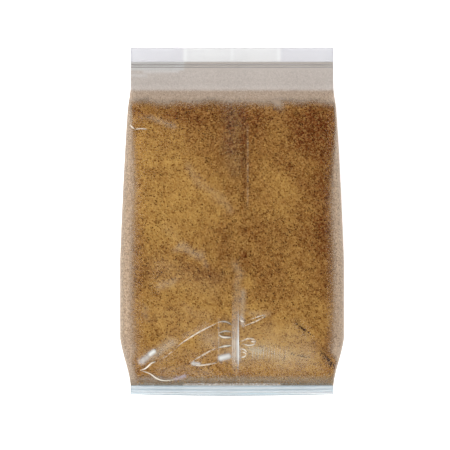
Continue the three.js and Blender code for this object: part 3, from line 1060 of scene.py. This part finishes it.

# %% [markdown]
# ## Creases
#
# Where the film is folded sharply it stands up in a thin ridge. The white along its crest is partly
# strained film and partly a painted highlight. A crease is a narrow ridge swept along a smooth path over
# the film, tapering to nothing at both ends. Its colour fades the same way, so a crease has no hard edge.

# %% The paths of the creases, in millimetres, with width, whiteness (strain and painted highlight) and how broken each one is
CREASES = {
    "end pleat crest": (
        [(-28, -63.2), (-25, -60.6), (-22, -58.6), (-16.5, -55.2), (-11.3, -52.5), (-7, -50.6)],
        1.4, 0.7, 0.3,
    ),
    "end pleat crest, low": ([(-37, -69.8), (-32.5, -66.9), (-27.5, -63)], 1.2, 0.3, 0.8),
    "end pleat arc": ([(-7.6, -50.5), (-5, -49.9), (-2.4, -50.2), (0.3, -51.8)], 1.4, 0.5, 0.2),
    "end pleat corner": ([(-46, -74.4), (-43.1, -73.3), (-40.1, -70.7), (-37.8, -70)], 1.3, 1.0, 0),
    "foot pleat": (
        [(-46, -74.4), (-41.3, -75.9), (-37.5, -78.5), (-33.8, -79.5), (-28, -79)],
        1.2, 0.85, 0,
    ),
    "inner loop upper": (
        [(-20.6, -70.9), (-18, -68.6), (-15.6, -67.3), (-10.4, -64.3), (-6.7, -62.9)],
        1.5, 0.5, 0.7,
    ),
    "inner loop across": ([(-6.9, -62.9), (-3.5, -62.2), (0, -61.8)], 1.5, 0.82, 0.2),
    "inner loop lower": (
        [(-20.6, -70.5), (-18.5, -71.5), (-15.6, -71.8), (-11.1, -71.2), (-6.7, -70.2)],
        1.5, 0.6, 0.4,
    ),
    "pucker upper": ([(-6.9, -55.9), (-3.7, -54.7), (0, -55.1)], 1.4, 0.5, 0.2),
    "pucker lower": ([(-6.9, -56.3), (-4.5, -57.7), (0, -57.8)], 1.6, 0.85, 0.1),
    "tip loop upper": ([(8.8, -49), (14, -47.2), (17.4, -46.5)], 1.3, 0.52, 0.4),
    "tip loop lower": ([(17.6, -46.7), (12.5, -49.5), (8.9, -51), (5.4, -52.4)], 1.2, 0.55, 0.4),
    "tip spot": ([(4, -48.8), (5, -49.8), (6.3, -50)], 1.7, 0.8, 0),
    "ring upper": ([(4, -60), (8, -58.4), (11, -58.9), (12.1, -60)], 1.4, 0.62, 0.3),
    "ring lower": ([(12.1, -59.6), (10.9, -61.3), (8, -61.8), (5, -60.8)], 1.4, 0.62, 0.3),
    "ring spot": ([(9.3, -59.8), (11.8, -60)], 1.7, 0.75, 0),
    "fan upper": ([(4.2, -63.4), (6.2, -64), (7.7, -65.5)], 1.2, 0.8, 0),
    "fan middle": ([(5, -65), (6.4, -65.5), (7.3, -66.7)], 1.1, 0.75, 0),
    "fan lower": ([(4.4, -67.8), (6, -67.5), (7.2, -66.5)], 1.3, 0.78, 0),
    "head crease upper": ([(-51.2, 48.4), (-50, 47.2), (-48.6, 46.1)], 1.2, 0.7, 0.2),
    "head crease lower": ([(-48.8, 46), (-46, 46.4), (-42, 46.1)], 1.1, 0.65, 0.2),
}
CREASE_HEIGHT = 0.24
STRIATION_GAP = 1.3


def striations():
    """A row of faint upright ridges in the strained film right of the seam."""
    rows = []
    for step in np.arange(11, 29, STRIATION_GAP):
        place = step + 0.3 * np.sin(step * 5)
        path = [(place, -61.8), (place - 0.3, -66), (place - 0.4, -69.2)]
        rows.append((path, 0.7, 0.6 - place / 80, 0.3))
    return rows


print(len(CREASES), "creases and", len(striations()), "striations")


# %% Ridges along those paths
def smooth_route(points, step=0.35):
    """Evenly spaced points on a smooth curve through the given ones."""
    points = np.array(points, float)
    padded = np.vstack([2 * points[0] - points[1], points, 2 * points[-1] - points[-2]])
    t = np.linspace(0, 1, 24, endpoint=False)[:, None]
    pieces = []
    for p0, p1, p2, p3 in zip(padded, padded[1:], padded[2:], padded[3:]):
        bend = 2 * p0 - 5 * p1 + 4 * p2 - p3
        pieces.append(0.5 * (2 * p1 + (p2 - p0) * t + bend * t**2 + (3 * p1 - p0 - 3 * p2 + p3) * t**3))
    dense = np.vstack([*pieces, points[-1:]])
    length = np.concatenate([[0], np.cumsum(np.hypot(*np.diff(dense, axis=0).T))])
    even = np.linspace(0, length[-1], max(5, int(length[-1] / step)))
    return np.stack([np.interp(even, length, dense[:, axis]) for axis in range(2)], axis=-1)


def ridge(points, width, breaks):
    """The rows of a ridge along a route: places, and how white each point is, from 0 to 1, strain and
    painted highlight together.
    """
    route = smooth_route(points)
    along = np.gradient(route, axis=0)
    along /= np.linalg.norm(along, axis=1)[:, None]
    across = np.stack([along[:, 1], -along[:, 0]], axis=-1)
    fade = np.sin(np.pi * np.linspace(0.02, 0.98, len(route))) ** 0.5
    offsets = np.array([-0.5, -0.22, 0, 0.22, 0.5])
    lift = np.array([-0.06, 0.75, 1, 0.75, -0.06])
    whiteness = np.array([0, 0.6, 1, 0.6, 0])
    spread = width * fade[:, None] * offsets
    x = route[:, :1] + across[:, :1] * spread
    y = route[:, 1:] + across[:, 1:] * spread
    over_lap = (x > SEAM_LEFT - 0.1) & (x < seam_right(y) + 0.1)
    z = film_height(x, y) + 0.02 + 0.2 * over_lap + CREASE_HEIGHT * width * fade[:, None] * lift
    broken = 1 - breaks * clamp(np.sin(route[:, :1] * 2.3) + 0.6 * np.sin(route[:, 1:] * 3.1 + 1))
    return x, y, z, fade[:, None] * broken * whiteness


def creases():
    """All creases as one mesh, because they are one kind of mark on one film."""
    vertices, faces, covers = [], [], []
    for points, width, peak, breaks in [*CREASES.values(), *striations()]:
        x, y, z, white = ridge(points, width, breaks)
        base = sum(len(v) for v in vertices)
        rows, count = x.shape
        for row in range(rows - 1):
            for i in range(count):
                a, b = base + row * count + i, base + row * count + (i + 1) % count
                faces.append([a, b, b + count, a + count])
        faces.append(list(range(base, base + count))[::-1])
        faces.append(list(range(base + (rows - 1) * count, base + rows * count)))
        vertices.append(np.stack([x, y, z], axis=-1).reshape(-1, 3))
        veil = (peak * white).reshape(-1, 1)
        # The white of the crest is partly strained film and partly painted highlight.
        covers.append(np.hstack([np.tile(CREST_WHITE_AND_HIGHLIGHT, (len(veil), 1)), veil]))
    piece = new_piece("creases", np.vstack(vertices), faces, film_material)
    outward(piece)
    count = len(piece.data.vertices)
    give_cover(piece, np.vstack(covers), np.zeros(count), np.ones(count))
    return piece


def outward(piece):
    """Turns every face of a closed mesh outwards."""
    work = bmesh.new()
    work.from_mesh(piece.data)
    bmesh.ops.recalc_face_normals(work, faces=work.faces)
    work.to_mesh(piece.data)
    work.free()


finish_piece(creases())

# %% [markdown]
# ## Crimps
#
# The sealing jaws press a few fine ridges into the band at the head, and into the fin at the foot. Each
# set is one ridge repeated at even steps, so Geometry Nodes make it: a slightly bowed line is swept with
# a flattened round section, and a copy stands on each point of a short line of points.


# %% The tree that repeats a ridge
def crimp_tree():
    """A bowed bar with a flattened round section, repeated at even steps."""
    inputs = {"Ground": "Geometry", "Length": "Float", "Bow": "Float", "Width": "Float"}
    inputs |= {"Count": "Int", "Spacing": "Float", "Material": "Material"}
    tree, graph, given = new_tree("repeat a crimp ridge", inputs)
    half = given["Length"] * 0.5

    def point(x, y):
        return graph.add("ShaderNodeCombineXYZ", None, {"X": x, "Y": y})

    ends = {"Start": point(half * -1.0, given["Bow"]), "End": point(half, given["Bow"])}
    bend = {"Resolution": 40, "Middle": point(0.0, given["Bow"] * -1.0)}
    bowed = graph.add("GeometryNodeCurveQuadraticBezier", None, bend | ends)
    circle = graph.add("GeometryNodeCurvePrimitiveCircle", None, {"Resolution": 8, "Radius": 0.5})
    flatter = {"X": given["Width"], "Y": given["Width"] * 0.5, "Z": 1.0}
    scale = graph.add("ShaderNodeCombineXYZ", None, flatter)
    section = graph.add("GeometryNodeTransform", None, {"Geometry": circle, "Scale": scale})
    sweep = {"Curve": bowed, "Profile Curve": section, "Fill Caps": True}
    bar = graph.add("GeometryNodeCurveToMesh", None, sweep)
    step = point(0.0, given["Spacing"])
    places = graph.add("GeometryNodeMeshLine", None, {"Count": given["Count"], "Offset": step})
    bars = graph.add("GeometryNodeInstanceOnPoints", None, {"Points": places, "Instance": bar})
    realized(graph, bars, given["Material"])
    return tree


def crimp_surface(colour, whiter, veil):
    """Pressed film: grey and half clear, a little uneven along its length."""

    def surface(graph, place):
        along = graph.add("ShaderNodeMapping", None, {"Vector": place, "Scale": (0.25, 1.0, 1.0)})
        uneven = graph.noise(along, 6, 2.0)
        shade = graph.tint(uneven.step(0.3, 0.75), colour, whiter)
        sockets = {"Base Color": shade, "Roughness": 0.3, "Alpha": veil + uneven * 0.2}
        return graph.add("ShaderNodeBsdfPrincipled", None, sockets)

    return surface


def crimps(name, length, bow, width, count, spacing, start, finish):
    """A set of ridges, laid on the film from the place where the first one goes."""
    values = {
        "Length": length * MM,
        "Bow": bow * MM,
        "Width": width * MM,
        "Count": count,
        "Spacing": spacing * MM,
        "Material": finish,
    }
    piece = run_tree(name, bpy.data.meshes.new("nothing"), ridge_tree, values)
    height = float(film_height(0, start)) + 0.03
    for vertex in piece.data.vertices:
        vertex.co.y += start * MM
        vertex.co.z += height * MM
    finish_piece(piece)


ridge_tree = crimp_tree()
# The head crimps are grey pressed film, darkened as painted shade of the ridges.
head_crimp_finish_and_shade = new_material("crimped film with painted shade", crimp_surface((0.4, 0.38, 0.365), (0.48, 0.46, 0.45), 0.6))
fin_finish = new_material("sealed fin film", crimp_surface((0.72, 0.86, 0.93), (0.95, 0.97, 1.0), 0.6))
crimps("head_crimps", SEAL_WIDTH - 0.4, 0, 0.65, 2, 1.25, CRIMP_START + 1.25, head_crimp_finish_and_shade)
crimps("fin_crimps", SEAL_WIDTH - 0.6, 0.4, 0.75, 3, 1.8, FOOT_END + 1.15, fin_finish)

# %% [markdown]
# ## Floor, light and camera
#
# The pouch lies on a plain pale floor and is seen from straight above, through a long lens, so that its
# outline is as flat as in the photograph. Two soft lights stand low at the sides, where the pleats catch
# them, and a pale sky fills the rest.

# %% Floor
FRAME_MM = 225
FRAME_CENTRE = (-3.5, -1.75)
AIM_HEIGHT = 24
FLOOR_GLOW = 0.62


def floor_surface(graph, place):
    grain = graph.noise(place, 60, 2.0)
    colour = graph.tint(grain, (0.9, 0.9, 0.9), (0.94, 0.94, 0.94))
    glow = {"Emission Color": (1, 1, 1, 1), "Emission Strength": FLOOR_GLOW}
    return graph.add("ShaderNodeBsdfPrincipled", None, {"Base Color": colour, "Roughness": 0.9} | glow)


def floor():
    half = 4000
    corners = [(-half, -half, 0), (half, -half, 0), (half, half, 0), (-half, half, 0)]
    sheet = new_piece("floor", corners, [[0, 1, 2, 3]], new_material("pale floor", floor_surface))


floor()


# %% Camera
def long_lens_camera():
    camera = bpy.data.cameras.new("camera")
    camera.lens = 1500
    camera.sensor_width = 36
    distance = FRAME_MM * camera.lens / camera.sensor_width
    holder = bpy.data.objects.new("camera", camera)
    holder.location = np.array([*FRAME_CENTRE, AIM_HEIGHT + distance]) * MM
    camera.clip_end = 100
    bpy.context.scene.collection.objects.link(holder)
    bpy.context.scene.camera = holder
    print("the camera hangs", round(distance / 1000, 2), "m above")


long_lens_camera()


# %% Lights
def soft_light(name, place, size, power):
    """A square lamp that faces the pouch. Place and size are in metres."""
    lamp = bpy.data.lights.new(name, "AREA")
    lamp.shape = "SQUARE"
    lamp.size = size
    lamp.energy = power
    holder = bpy.data.objects.new(name, lamp)
    holder.location = place
    back = np.array(place) / np.linalg.norm(place)
    holder.rotation_euler = (math.acos(back[2]), 0, math.atan2(back[0], -back[1]))
    holder.visible_camera = False
    bpy.context.scene.collection.objects.link(holder)


soft_light("left_light", (-1.1, 0.3, 0.8), 1.1, 3.4)
soft_light("right_light", (1.1, -0.1, 0.75), 1.1, 2.8)


# %% A pale sky, with a dark panel overhead so that the upper film mirrors nothing
SKY = 1.9
world = bpy.data.worlds.new("pale sky")
world.use_nodes = True
world.node_tree.nodes.clear()
sky = Graph(world.node_tree)
direction = sky.add("ShaderNodeTexCoord", output="Generated")
across = sky.add("ShaderNodeSeparateXYZ", None, {"Vector": direction}, "X")
along = sky.add("ShaderNodeSeparateXYZ", None, {"Vector": direction}, "Y")
sideways = across - 0.18
from_panel = sideways * sideways * 5.0 + along * along * 0.55
strength = SKY * (0.03 + 0.97 * from_panel.step(0.6, 1.2))
glow = sky.add("ShaderNodeBackground", None, {"Color": (1, 1, 1, 1), "Strength": strength})
sky.add("ShaderNodeOutputWorld", None, {"Surface": glow})
bpy.context.scene.world = world
bpy.context.scene.view_settings.view_transform = "Standard"
print("two lamps and a pale sky")
